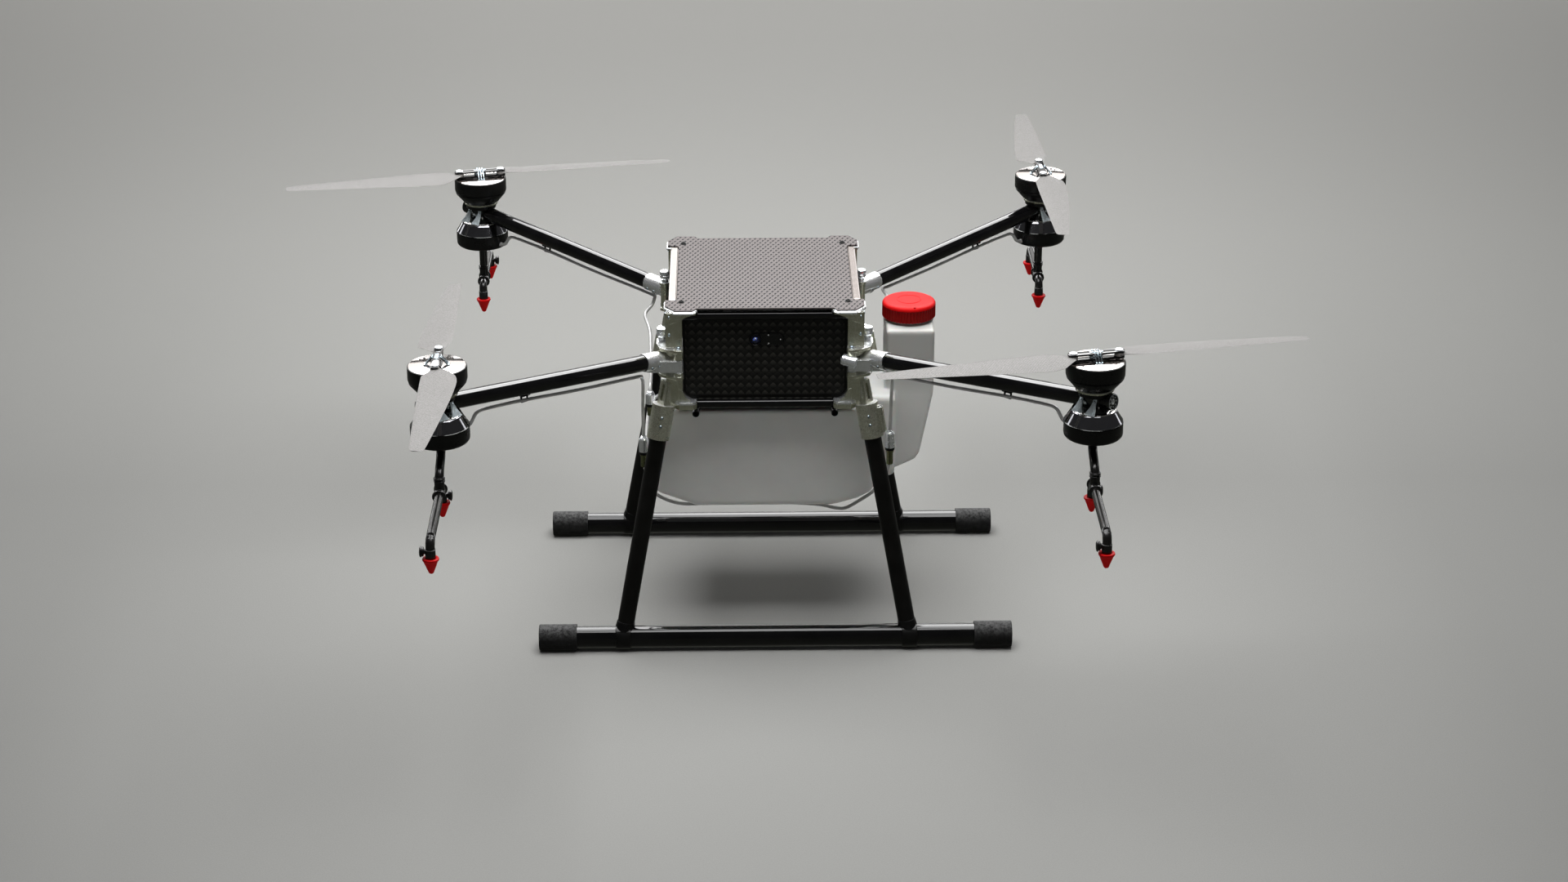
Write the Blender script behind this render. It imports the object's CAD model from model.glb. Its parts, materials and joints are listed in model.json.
"""Looks of the agricultural spray drone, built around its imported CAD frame.

Metres, in the frame's own axes: +Z up, the drone's front towards -Y, its right side towards +X.
Corner pieces are built once, for the rear right corner, and mirrored into the other three.
"""

import json
import math

import bmesh
import bpy
from mathutils import Matrix, Vector


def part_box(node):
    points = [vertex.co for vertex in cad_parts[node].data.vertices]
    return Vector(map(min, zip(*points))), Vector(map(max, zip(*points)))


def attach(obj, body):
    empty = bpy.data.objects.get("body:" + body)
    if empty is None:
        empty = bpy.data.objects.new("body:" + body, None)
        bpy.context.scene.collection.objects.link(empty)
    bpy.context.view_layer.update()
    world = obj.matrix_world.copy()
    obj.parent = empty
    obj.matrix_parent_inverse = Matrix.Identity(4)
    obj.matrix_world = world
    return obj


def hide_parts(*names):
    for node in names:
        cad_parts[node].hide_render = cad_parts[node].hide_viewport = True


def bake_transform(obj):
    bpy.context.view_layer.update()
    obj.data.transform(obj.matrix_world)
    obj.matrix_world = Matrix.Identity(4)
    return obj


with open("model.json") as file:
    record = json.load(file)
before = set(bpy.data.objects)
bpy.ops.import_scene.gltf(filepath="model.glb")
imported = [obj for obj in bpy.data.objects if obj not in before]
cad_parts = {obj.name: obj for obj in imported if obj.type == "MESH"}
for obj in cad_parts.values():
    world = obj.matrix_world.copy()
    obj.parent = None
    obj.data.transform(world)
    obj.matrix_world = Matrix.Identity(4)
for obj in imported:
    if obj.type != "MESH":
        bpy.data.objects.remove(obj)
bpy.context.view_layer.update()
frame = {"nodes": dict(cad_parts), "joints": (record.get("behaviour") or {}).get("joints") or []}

CORNERS = {
    "front_left": (-1, -1),
    "front_right": (1, -1),
    "rear_left": (-1, 1),
    "rear_right": (1, 1),
}
ROOT = "airframe"
JOINT = {joint["name"]: joint for joint in frame["joints"]}


def joint_place(name):
    """A joint's point, brought into the rear right corner."""
    x, y, z = JOINT[name]["pos_m"]
    return Vector((abs(x), abs(y), z))


HINGE = joint_place("arm_fold_rear_right")
MOTOR = joint_place("rotor_spin_rear_right")
LOCK = joint_place("arm_lock_pull_rear_right")
NECK_LOW, NECK_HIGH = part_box("tank_cap")
NECK = (NECK_LOW + NECK_HIGH) / 2
TOP_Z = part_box("top_plate")[1].z

ARM_POINT = Vector((0.18, 0.18, 0.0))
ARM_RISE = 0.0993
ARM_Z_AT_MOTOR = 0.59
TUBE_RADIUS = 0.0147
BODY_HALF_X, BODY_HALF_Y = 0.1775, 0.19
POST_INNER_X, POST_INNER_Y = 0.148, 0.16
RAIL_RADIUS = 0.0078
RAIL_Y = 0.181
RAIL_TOP_Z, RAIL_BOTTOM_Z = 0.6235, 0.4545
FLOOR_Z = 0.4605
SKID_RADIUS, SKID_Z, SKID_Y = 0.02, 0.0227, 0.2513
SKID_CENTRE_X, SKID_HALF_LENGTH = 0.017, 0.433
FOOT_RADIUS, FOOT_LENGTH = 0.0237, 0.069
LEG_RADIUS = 0.0155
LEG_TOP = Vector((0.182, 0.185, 0.456))
LEG_FOOT = Vector((0.262, SKID_Y, SKID_Z))
SOCKET_RADIUS, SOCKET_LENGTH = 0.0205, 0.064
BLADE_PIVOT_R = 0.0405
BLADE_Z = 0.6685
PROP_RADIUS = 0.381
BOOM_RADIUS, BOOM_Z = 0.0078, 0.448
FRONT_BOOM_Y, REAR_BOOM_Y = 0.052, 0.0
FRONT_NOZZLES, REAR_NOZZLES = (0.022, 0.247), (-0.034, 0.159)
HOSE_RADIUS = 0.0031
CLAMP_TURN = math.radians(62.0)
SCREW_RADIUS, PANEL_SCREW_RADIUS, LID_SCREW_RADIUS = 0.003, 0.0026, 0.0046
LUG_RADIUS = 0.0088
CAP_RIBS, CAP_RIB_DEPTH = 51, 0.0022
BLACK_CLOTH_PITCH = 0.0145
LID_CLOTH_PITCH = (0.0097, 0.011)
SHARP_ANGLE = math.radians(32.0)
WINDOW_X, WINDOW_Z = 0.003, 0.5757
WINDOW_HALF_WIDTH, WINDOW_HALF_HEIGHT = 0.0318, 0.0118


# ---------------------------------------------------------------- materials
class Paint:
    """A small wrapper that builds one node material."""

    def __init__(self, name):
        self.material = bpy.data.materials.new(name)
        self.material.use_nodes = True
        self.tree = self.material.node_tree
        self.shader = self.tree.nodes["Principled BSDF"]
        self.place = self.add("ShaderNodeTexCoord").outputs["Object"]

    def add(self, kind, **settings):
        made = self.tree.nodes.new(kind)
        for key, value in settings.items():
            setattr(made, key, value)
        return made

    def link(self, source, target):
        self.tree.links.new(source, target)

    def feed(self, socket, value):
        """Connects a socket's value, or sets it when it is a plain number or colour."""
        if isinstance(value, bpy.types.NodeSocket):
            self.link(value, socket)
        elif isinstance(value, tuple) and len(value) == 3 and socket.type == "RGBA":
            socket.default_value = (*value, 1.0)
        else:
            socket.default_value = value

    def set(self, **values):
        """Sets the shader's sockets by name, with underscores for spaces."""
        for key, value in values.items():
            self.feed(self.shader.inputs[key.replace("_", " ")], value)
        return self

    def math(self, operation, first, second=0.0):
        made = self.add("ShaderNodeMath", operation=operation)
        for socket, value in zip(made.inputs, (first, second)):
            self.feed(socket, value)
        return made.outputs[0]

    def times(self, first, second):
        return self.math("MULTIPLY", first, second)

    def plus(self, first, second):
        return self.math("ADD", first, second)

    def minus(self, first, second):
        return self.math("SUBTRACT", first, second)

    def noise(self, scale, detail=3.0, roughness=0.55, stretch=(1.0, 1.0, 1.0)):
        mapping = self.add("ShaderNodeMapping")
        mapping.inputs["Scale"].default_value = stretch
        self.link(self.place, mapping.inputs["Vector"])
        made = self.add("ShaderNodeTexNoise")
        made.inputs["Scale"].default_value = scale
        made.inputs["Detail"].default_value = detail
        made.inputs["Roughness"].default_value = roughness
        self.link(mapping.outputs["Vector"], made.inputs["Vector"])
        return made.outputs["Fac"]

    def spread(self, value, low, high, to_low=0.0, to_high=1.0):
        """Maps a value's range onto another, clamped."""
        made = self.add("ShaderNodeMapRange")
        made.clamp = True
        for key, number in zip(("From Min", "From Max", "To Min", "To Max"), (low, high, to_low, to_high)):
            made.inputs[key].default_value = number
        self.link(value, made.inputs["Value"])
        return made.outputs["Result"]

    def mix(self, factor, first, second):
        made = self.add("ShaderNodeMix", data_type="RGBA")
        self.feed(made.inputs["Factor"], factor)
        self.feed(made.inputs["A"], first)
        self.feed(made.inputs["B"], second)
        return made.outputs["Result"]

    def bump(self, height, strength, distance=0.0005, edge=0.0):
        """Bump from a height, over rounded edges when an edge radius is given."""
        made = self.add("ShaderNodeBump")
        made.inputs["Strength"].default_value = strength
        made.inputs["Distance"].default_value = distance
        self.link(height, made.inputs["Height"])
        if edge:
            rounding = self.add("ShaderNodeBevel", samples=4)
            rounding.inputs["Radius"].default_value = edge
            self.link(rounding.outputs["Normal"], made.inputs["Normal"])
        self.link(made.outputs["Normal"], self.shader.inputs["Normal"])
        return self

    def axes(self, source=None):
        """X, Y and Z of a place on the piece, or of another vector."""
        made = self.add("ShaderNodeSeparateXYZ")
        self.link(source or self.place, made.inputs[0])
        return made.outputs

    def upward(self):
        """How far the surface faces up."""
        return self.axes(self.add("ShaderNodeNewGeometry").outputs["Normal"])["Z"]


def metal(name, colour, dark, rough, speckle=900.0, edge=0.0007, grit=0.1, solid=1.0, machined=None):
    """Polished alloy with a fine cast grain and faint wear; a machined colour covers its upper faces."""
    paint = Paint(name)
    grain = paint.noise(speckle, 4.0, 0.7)
    cloud = paint.noise(60.0, 3.0)
    tone = paint.times(paint.spread(grain, 0.35, 0.62), paint.spread(cloud, 0.25, 0.6, 0.55, 1.0))
    skin = paint.mix(tone, dark, colour)
    if machined:
        skin = paint.mix(paint.spread(paint.upward(), 0.25, 0.75), skin, machined)
    paint.set(Base_Color=skin, Metallic=solid, Roughness=paint.spread(cloud, 0.3, 0.7, rough * 0.85, rough * 1.2))
    return paint.bump(grain, grit, 0.0003, edge).material


def plastic(name, colour, rough, grain=0.1, scale=700.0, coat=0.0, edge=0.0008, wear=0.35, gloss=0.5):
    """Moulded or lacquered plastic: slight tone changes, fine grain and rounded edges."""
    paint = Paint(name)
    fine = paint.noise(scale, 4.0)
    cloud = paint.noise(25.0, 4.0)
    light = tuple(min(1.0, channel * (1.0 + wear) + 0.003) for channel in colour)
    paint.set(
        Base_Color=paint.mix(paint.spread(cloud, 0.3, 0.75), colour, light),
        Roughness=paint.spread(cloud, 0.3, 0.7, rough * 0.85, min(1.0, rough * 1.2)),
    )
    paint.set(Coat_Weight=coat, Coat_Roughness=0.05, Specular_IOR_Level=gloss)
    return paint.bump(fine, grain, 0.0002, edge).material


def dark_weave(name, axis_a, axis_b):
    """Black carbon cloth in square diamonds, each lit from its upper corner, under clear lacquer."""
    paint = Paint(name)
    axes = paint.axes()
    column = paint.math("DIVIDE", axes[axis_a], BLACK_CLOTH_PITCH)
    row = paint.math("DIVIDE", axes[axis_b], BLACK_CLOTH_PITCH)
    rising = paint.plus(column, row)
    falling = paint.minus(column, row)
    first = paint.math("FLOOR", rising)
    second = paint.math("FLOOR", falling)
    odd = paint.math("MODULO", paint.math("ABSOLUTE", paint.plus(first, second)), 2.0)
    across = paint.math("FRACT", rising)
    along = paint.math("FRACT", falling)
    lift = paint.times(paint.minus(across, along), 0.5)
    crown = paint.spread(paint.plus(0.5, lift), 0.15, 0.95)
    sides = [paint.times(part, paint.minus(1.0, part)) for part in (across, along)]
    seam = paint.times(*sides)
    light = paint.times(crown, paint.spread(odd, 0.0, 1.0, 0.28, 1.0))
    light = paint.times(light, paint.spread(seam, 0.0, 0.016, 0.15, 1.0))
    fibre = paint.noise(1500.0, 2.0, 0.6, (1.0, 1.0, 0.2))
    light = paint.times(light, paint.spread(fibre, 0.3, 0.7, 0.7, 1.15))
    paint.set(
        Base_Color=paint.mix(light, (0.003, 0.0029, 0.0025), (0.062, 0.06, 0.051)),
        Roughness=paint.spread(light, 0.0, 1.0, 0.62, 0.42),
        Specular_IOR_Level=0.3,
    )
    return paint.bump(light, 0.35, 0.0006).material


def pale_weave(name, column_pitch, row_pitch, pale, dark, coverage, rough, metallic):
    """Silvery open cloth: pale crossing tows with a dark gap between them, rows shifted by half a cell."""
    paint = Paint(name)
    axes = paint.axes()
    row = paint.math("DIVIDE", axes[1], row_pitch)
    shift = paint.times(paint.math("FLOOR", row), 0.5)
    column = paint.plus(paint.math("DIVIDE", axes[0], column_pitch), shift)
    u = paint.minus(paint.math("FRACT", column), 0.5)
    v = paint.minus(paint.math("FRACT", row), 0.5)
    skew = paint.minus(u, paint.times(v, 0.3))
    wide = paint.times(paint.times(skew, skew), 20.0)
    tall = paint.times(paint.times(v, v), 6.0)
    hole = paint.spread(paint.plus(wide, tall), coverage * 0.3, coverage, 1.0, 0.0)
    strand = paint.noise(700.0, 3.0, 0.6, (1.0, 0.4, 1.0))
    shade = paint.times(paint.spread(strand, 0.3, 0.7, 0.66, 1.12), paint.spread(u, -0.5, 0.5, 1.0, 0.72))
    tone = paint.times(paint.minus(1.0, hole), shade)
    paint.set(
        Base_Color=paint.mix(tone, dark, pale),
        Metallic=paint.spread(tone, 0.0, 1.0, 0.0, metallic),
        Roughness=paint.spread(tone, 0.0, 1.0, 0.5, rough),
        Specular_IOR_Level=0.05,
    )
    return paint.bump(tone, 0.3, 0.0005).material


def blade_cloth(name):
    """Blades: pale fibre cloth with fine cross threads and a satin skin."""
    paint = Paint(name)
    axes = paint.axes()
    thread = paint.math("SINE", paint.times(axes[1], 1050.0))
    cross = paint.math("SINE", paint.times(axes[0], 1250.0))
    lattice = paint.times(thread, cross)
    fleck = paint.noise(430.0, 4.0, 0.75)
    tone = paint.plus(paint.spread(lattice, -1.0, 1.0, 0.0, 0.4), paint.spread(fleck, 0.38, 0.66, 0.0, 0.6))
    paint.set(
        Base_Color=paint.mix(tone, (0.155, 0.15, 0.145), (0.325, 0.317, 0.309)),
        Roughness=0.4,
        Specular_IOR_Level=0.04,
    )
    return paint.bump(tone, 0.15, 0.0003).material


def tank_plastic(name):
    """Blow-moulded polythene: milky, with broad soft unevenness."""
    paint = Paint(name)
    broad = paint.noise(9.0, 3.0)
    fine = paint.noise(400.0, 3.0)
    skin = paint.mix(paint.spread(broad, 0.3, 0.7), (0.74, 0.74, 0.72), (0.82, 0.82, 0.8))
    empty = paint.spread(paint.axes()["Z"], 0.42, 0.47)
    paint.set(
        Base_Color=paint.mix(empty, skin, (0.52, 0.52, 0.5)),
        Roughness=paint.spread(fine, 0.3, 0.7, 0.36, 0.46),
        Specular_IOR_Level=0.22,
    )
    paint.set(Subsurface_Weight=0.12, Subsurface_Scale=0.01)
    return paint.bump(paint.plus(broad, paint.times(fine, 0.05)), 0.1, 0.002).material


def rubber(name):
    """Boot rubber, scuffed pale on its rough skin."""
    paint = Paint(name)
    rough = paint.noise(160.0, 8.0, 0.72)
    scuff = paint.noise(45.0, 5.0, 0.6, (0.5, 2.0, 2.0))
    tone = paint.plus(paint.spread(rough, 0.35, 0.7, 0.0, 0.6), paint.spread(scuff, 0.45, 0.7, 0.0, 0.4))
    dust = paint.times(paint.spread(paint.upward(), 0.2, 0.95), paint.spread(rough, 0.4, 0.6))
    skin = paint.mix(tone, (0.004, 0.004, 0.004), (0.026, 0.026, 0.026))
    paint.set(
        Base_Color=paint.mix(dust, skin, (0.085, 0.085, 0.085)),
        Roughness=0.8,
        Specular_IOR_Level=0.3,
    )
    return paint.bump(rough, 0.55, 0.0012).material


def lens_glass(name, shallow, deep):
    """Coated glass: a clouded blue bloom over a dark depth."""
    paint = Paint(name)
    cloud = paint.noise(260.0, 2.0)
    paint.set(
        Base_Color=paint.mix(paint.spread(cloud, 0.35, 0.65), deep, shallow),
        Roughness=0.05,
        Coat_Weight=1.0,
        Coat_Roughness=0.02,
    )
    return paint.material


def floor_paint(name):
    """Pale studio floor with a faint fine grain, darker at its sides and lighter towards the back."""
    paint = Paint(name)
    grain = paint.noise(420.0, 3.0, 0.7)
    axes = paint.axes()
    aside = paint.times(axes[0], axes[0])
    far = paint.spread(axes[1], -0.5, 2.0)
    near_side = paint.times(paint.spread(aside, 0.3, 1.8, 1.0, 0.8), paint.minus(1.0, far))
    far_side = paint.times(paint.spread(aside, 0.5, 6.0, 1.0, 0.84), far)
    level = paint.times(paint.plus(near_side, far_side), paint.spread(axes[1], 0.5, 4.5, 1.0, 2.25))
    level = paint.times(level, paint.spread(grain, 0.3, 0.7, 0.325, 0.362))
    tone = paint.add("ShaderNodeCombineColor")
    paint.link(level, tone.inputs["Red"])
    paint.link(level, tone.inputs["Green"])
    paint.link(paint.times(level, 0.965), tone.inputs["Blue"])
    paint.set(Base_Color=tone.outputs["Color"], Roughness=0.9, Specular_IOR_Level=0.0)
    return paint.material


METAL = metal(
    "cast_aluminium", (0.8, 0.81, 0.68), (0.42, 0.42, 0.3), 0.23, 900.0, 0.0009, 0.06, 0.85, (0.97, 0.99, 1.0)
)
METAL_LIGHT = metal(
    "sleeve_aluminium", (0.95, 0.97, 0.98), (0.7, 0.72, 0.73), 0.24, 900.0, 0.0007, 0.05, 0.8, (1.0, 1.0, 1.0)
)
SOCKET = metal(
    "socket_aluminium", (0.84, 0.85, 0.74), (0.34, 0.34, 0.24), 0.3, 700.0, 0.0009, 0.09, 0.8, (1.0, 1.0, 1.0)
)
PALE_BLUE = metal("bracket_alloy", (0.84, 0.93, 0.97), (0.66, 0.76, 0.8), 0.26, 1200.0, 0.0005, 0.04, 0.3)
BRIGHT = metal("bright_aluminium", (0.96, 0.98, 1.0), (0.78, 0.81, 0.84), 0.24, 1400.0, 0.0005, 0.05, 0.78)
STEEL = metal("screw_steel", (0.78, 0.88, 0.94), (0.4, 0.47, 0.52), 0.2, 1800.0, 0.0003)
PALE = metal("pale_disc", (0.84, 0.77, 0.74), (0.74, 0.68, 0.65), 0.1, 1100.0, 0.0006, 0.03)
PALE_DIM = metal("shaded_flange", (0.46, 0.41, 0.39), (0.36, 0.32, 0.3), 0.14, 1100.0, 0.0006, 0.03)
MIRROR = metal("polished_deck", (0.93, 0.9, 0.88), (0.84, 0.82, 0.8), 0.08, 1400.0, 0.0005, 0.02)
DARK_MIRROR = metal("polished_dark", (0.34, 0.34, 0.36), (0.22, 0.22, 0.24), 0.09, 1400.0, 0.0005, 0.02)
DARK_METAL = metal("dark_metal", (0.1, 0.105, 0.1), (0.03, 0.03, 0.03), 0.16, 1200.0, 0.0006)
OLIVE_METAL = metal("olive_metal", (0.34, 0.36, 0.2), (0.12, 0.13, 0.07), 0.28, 1200.0, 0.0006)
GLOSS = plastic("gloss_black", (0.0016, 0.0016, 0.0019), 0.06, 0.008, 900.0, 0.12, gloss=0.4)
SATIN = plastic("satin_black", (0.0028, 0.0028, 0.0028), 0.28, 0.08, 900.0, gloss=0.28)
MATT = plastic("matt_black", (0.0035, 0.0033, 0.0028), 0.42, 0.12, 900.0, gloss=0.2)
BOOM = plastic("boom_black", (0.008, 0.0075, 0.007), 0.2, 0.1, 500.0)
RED = plastic("red_plastic", (0.6, 0.004, 0.005), 0.42, 0.1, 600.0, 0.0, 0.0006, 0.12, 0.05)
DEEP_RED = plastic("red_ribs", (0.26, 0.002, 0.002), 0.5, 0.1, 600.0, 0.0, 0.0004, 0.12, 0.15)
HOSE = plastic("hose_grey", (0.4, 0.4, 0.395), 0.2, 0.04, 900.0, gloss=1.0)
CASE = plastic("battery_case", (0.035, 0.035, 0.038), 0.5, 0.25, 500.0)
HOLE = plastic("hole_black", (0.003, 0.003, 0.003), 0.7, 0.05, 600.0)
WHITE = plastic("white_dot", (0.75, 0.75, 0.73), 0.35, 0.03, 900.0)
TANK = tank_plastic("tank_polythene")
RUBBER = rubber("boot_rubber")
WEAVE_FRONT = dark_weave("carbon_front", 0, 2)
WEAVE_SIDE = dark_weave("carbon_side", 1, 2)
WEAVE_FLOOR = dark_weave("carbon_floor", 0, 1)
WEAVE_TOP = pale_weave(
    "carbon_top", *LID_CLOTH_PITCH, (0.215, 0.193, 0.188), (0.004, 0.003, 0.006), 1.25, 0.22, 0.1
)
BLADE = blade_cloth("blade_cloth")
LENS = lens_glass("lens_glass", (0.01, 0.018, 0.1), (0.003, 0.004, 0.03))
BLOOM = lens_glass("lens_bloom", (0.2, 0.32, 1.0), (0.05, 0.1, 0.7))
FLOOR = floor_paint("studio_floor")

USUAL_FINISHES = {
    "polished_aluminium": (METAL, METAL_LIGHT, SOCKET, PALE_BLUE, BRIGHT, STEEL, PALE, PALE_DIM, MIRROR, OLIVE_METAL),
    "gloss_black_tube": (GLOSS, DARK_MIRROR),
    "matt_black": (SATIN, MATT, BOOM, DARK_METAL, CASE, HOLE, WHITE, LENS, BLOOM),
    "red_plastic": (RED, DEEP_RED),
    "hose_plastic": (HOSE,),
    "tank_plastic": (TANK,),
    "foot_rubber": (RUBBER,),
    "carbon_weave": (WEAVE_FRONT, WEAVE_SIDE, WEAVE_FLOOR),
    "blade_composite": (BLADE,),
}
USUAL_SLOT = {finish.name: slot for slot, finishes in USUAL_FINISHES.items() for finish in finishes}


# ---------------------------------------------------------------- shape builders
MERGE_DISTANCE = 0.00001


def mesh_of(made):
    mesh = bpy.data.meshes.new("piece")
    made.to_mesh(mesh)
    made.free()
    return mesh


def box(low, high, bevel=0.0, segments=2):
    made = bmesh.new()
    bmesh.ops.create_cube(made, size=1.0)
    low, high = Vector(low), Vector(high)
    bmesh.ops.scale(made, vec=high - low, verts=made.verts)
    bmesh.ops.translate(made, vec=(low + high) / 2, verts=made.verts)
    if bevel:
        bmesh.ops.bevel(made, geom=made.edges[:], offset=bevel, segments=segments, affect="EDGES")
    return mesh_of(made)


def rod(start, end, radius, end_radius=None, sides=40, bevel=0.0):
    """A cylinder or cone between two points, its rims rounded when a bevel is given."""
    start, end = Vector(start), Vector(end)
    made = bmesh.new()
    turn = (end - start).to_track_quat("Z", "Y").to_matrix().to_4x4()
    bmesh.ops.create_cone(
        made,
        cap_ends=True,
        segments=sides,
        radius1=radius,
        radius2=radius if end_radius is None else end_radius,
        depth=(end - start).length,
        matrix=Matrix.Translation((start + end) / 2) @ turn,
    )
    if bevel:
        rims = [edge for edge in made.edges if any(len(face.verts) > 4 for face in edge.link_faces)]
        bmesh.ops.bevel(made, geom=rims, offset=bevel, segments=3, affect="EDGES", profile=0.5)
    return mesh_of(made)


def evaluated(source):
    bpy.context.view_layer.update()
    graph = bpy.context.evaluated_depsgraph_get()
    mesh = bpy.data.meshes.new_from_object(source.evaluated_get(graph), depsgraph=graph)
    mesh.transform(source.matrix_world)
    bpy.data.objects.remove(source, do_unlink=True)
    return mesh


def temporary(mesh):
    made = bpy.data.objects.new("temporary", mesh)
    bpy.context.scene.collection.objects.link(made)
    return made


def welded(mesh):
    made = bmesh.new()
    made.from_mesh(mesh)
    bmesh.ops.remove_doubles(made, verts=made.verts, dist=MERGE_DISTANCE)
    bmesh.ops.recalc_face_normals(made, faces=made.faces)
    return mesh_of(made)


def turned(profile, centre=(0.0, 0.0), steps=56):
    """A solid of revolution about a vertical axis, from (radius, z) points."""
    made = bmesh.new()
    corners = [made.verts.new((radius, 0.0, z)) for radius, z in profile]
    for upper, lower in zip(corners, corners[1:]):
        made.edges.new((upper, lower))
    spun = temporary(mesh_of(made))
    screw = spun.modifiers.new("turn", "SCREW")
    screw.steps = steps
    screw.render_steps = steps
    screw.use_merge_vertices = True
    screw.merge_threshold = MERGE_DISTANCE
    mesh = welded(evaluated(spun))
    mesh.transform(Matrix.Translation((centre[0], centre[1], 0.0)))
    return mesh


def aimed(mesh, start, end):
    """A mesh made standing on the origin, laid along the line from start towards end."""
    start, end = Vector(start), Vector(end)
    turn = (end - start).to_track_quat("Z", "Y").to_matrix().to_4x4()
    mesh.transform(Matrix.Translation(start) @ turn)
    return mesh


def slab(outline, low_z, high_z, bevel=0.0):
    """A flat outline of (x, y) points, given thickness and soft edges."""
    curve = bpy.data.curves.new("outline", "CURVE")
    curve.dimensions = "2D"
    curve.fill_mode = "BOTH"
    curve.extrude = (high_z - low_z) / 2
    spline = curve.splines.new("POLY")
    spline.points.add(len(outline) - 1)
    for point, (x, y) in zip(spline.points, outline):
        point.co = (x, y, 0.0, 1.0)
    spline.use_cyclic_u = True
    mesh = welded(evaluated(temporary(curve)))
    mesh.transform(Matrix.Translation((0.0, 0.0, (low_z + high_z) / 2)))
    return rounded(mesh, bevel) if bevel else mesh


def cut(base, *tools):
    return combine(base, tools, "DIFFERENCE")


def wall(outline_xz, low_y, high_y):
    """An outline of (x, z) points, given thickness along Y."""
    mesh = slab(outline_xz, -high_y, -low_y)
    mesh.transform(Matrix.Rotation(math.radians(90.0), 4, "X"))
    return mesh


def rounded(mesh, width, segments=2, angle=35.0):
    source = temporary(mesh)
    bevel = source.modifiers.new("round", "BEVEL")
    bevel.width = width
    bevel.segments = segments
    bevel.limit_method = "ANGLE"
    bevel.angle_limit = math.radians(angle)
    return evaluated(source)


def smooth_route(points, spacing):
    """Points along a Catmull-Rom curve through a route, about one spacing apart."""
    route = [Vector(p) for p in points]
    route = [2 * route[0] - route[1]] + route + [2 * route[-1] - route[-2]]
    made = []
    for a, b, c, d in zip(route, route[1:], route[2:], route[3:]):
        count = max(1, round((c - b).length / spacing))
        for step in range(count):
            t = step / count
            made.append(
                0.5 * (2 * b + (c - a) * t + (2 * a - 5 * b + 4 * c - d) * t**2 + (3 * b - a - 3 * c + d) * t**3)
            )
    made.append(route[-2])
    return made


def tube(points, radius, spacing=0.004, resolution=6):
    route = smooth_route(points, spacing)
    curve = bpy.data.curves.new("route", "CURVE")
    curve.dimensions = "3D"
    curve.bevel_depth = radius
    curve.bevel_resolution = resolution
    curve.use_fill_caps = True
    spline = curve.splines.new("POLY")
    spline.points.add(len(route) - 1)
    for point, place in zip(spline.points, route):
        point.co = (*place, 1.0)
    return welded(evaluated(temporary(curve)))


def combine(base, tools, operation="UNION"):
    worked = temporary(base)
    helpers = []
    for tool in tools:
        helper = temporary(tool)
        helpers.append(helper)
        modifier = worked.modifiers.new(operation.lower(), "BOOLEAN")
        modifier.operation = operation
        modifier.solver = "EXACT"
        modifier.object = helper
    mesh = evaluated(worked)
    for helper in helpers:
        bpy.data.objects.remove(helper, do_unlink=True)
    return mesh


def gathered(meshes):
    """Several meshes in one, without cutting them."""
    made = bmesh.new()
    for mesh in meshes:
        made.from_mesh(mesh)
    return mesh_of(made)


def mirrored(mesh, sign_x, sign_y):
    copy = mesh.copy()
    copy.transform(Matrix.Diagonal((sign_x, sign_y, 1.0, 1.0)))
    if sign_x * sign_y < 0:
        copy.flip_normals()
    return copy


def piece(name, mesh, finish, body=ROOT, stands_for=(), slot=None):
    """A finished piece: named, painted, smooth shaded, riding on its body and hiding its CAD nodes."""
    slot = slot or USUAL_SLOT[finish.name]
    mesh = mesh.copy()
    mesh.name = name
    mesh.materials.clear()
    mesh.materials.append(finish)
    mesh.shade_smooth()
    mesh.set_sharp_from_angle(angle=SHARP_ANGLE)
    made = bpy.data.objects.new(name, mesh)
    bpy.context.scene.collection.objects.link(made)
    if body:
        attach(made, body)
    if stands_for:
        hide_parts(*stands_for)
    return made


def corner_piece(corner, name, mesh, finish, body=ROOT, node=None, slot=None):
    """A piece of one corner, mirrored there from the rear right one; it may stand for that corner's node."""
    stands_for = (f"{node}_{corner}",) if node else ()
    return piece(f"{name}_{corner}", mirrored(mesh, *CORNERS[corner]), finish, body, stands_for, slot)


def screw_head(place, way, radius, height=None):
    """A button-head screw: a domed head with a hexagon socket."""
    height = height or radius * 0.7
    dome = ((0.0, 1.0), (0.62, 1.0), (0.88, 0.72), (1.0, 0.3), (1.0, 0.0), (0.0, 0.0))
    head = turned([(radius * out, height * up) for out, up in dome], steps=20)
    pit = rod((0, 0, height * 0.45), (0, 0, height * 1.4), radius * 0.55, sides=6)
    head = cut(head, pit)
    return aimed(head, place, Vector(place) + Vector(way))


def paint_node(node, finish):
    """A kept CAD node takes a finish."""
    shown = frame["nodes"][node]
    shown.data.materials.clear()
    shown.data.materials.append(finish)


# ---------------------------------------------------------------- shared directions
MOTOR_XY, NECK_XY = (MOTOR.x, MOTOR.y), (NECK.x, NECK.y)
MOTOR_FLAT = Vector((*MOTOR_XY, 0.0))
ARM_RUN = (MOTOR_FLAT - ARM_POINT).normalized()
ARM_WAY = Vector((ARM_RUN.x, ARM_RUN.y, ARM_RISE)).normalized()
ARM_SIDE = Vector((-ARM_RUN.y, ARM_RUN.x, 0.0))
LEG_WAY = (LEG_TOP - LEG_FOOT).normalized()
UP = Vector((0.0, 0.0, 1.0))
ARM_TURN = Matrix.Rotation(math.atan2(ARM_RUN.y, ARM_RUN.x), 4, "Z")
MOTOR_SHIFT = Matrix.Translation(MOTOR_FLAT)


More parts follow.
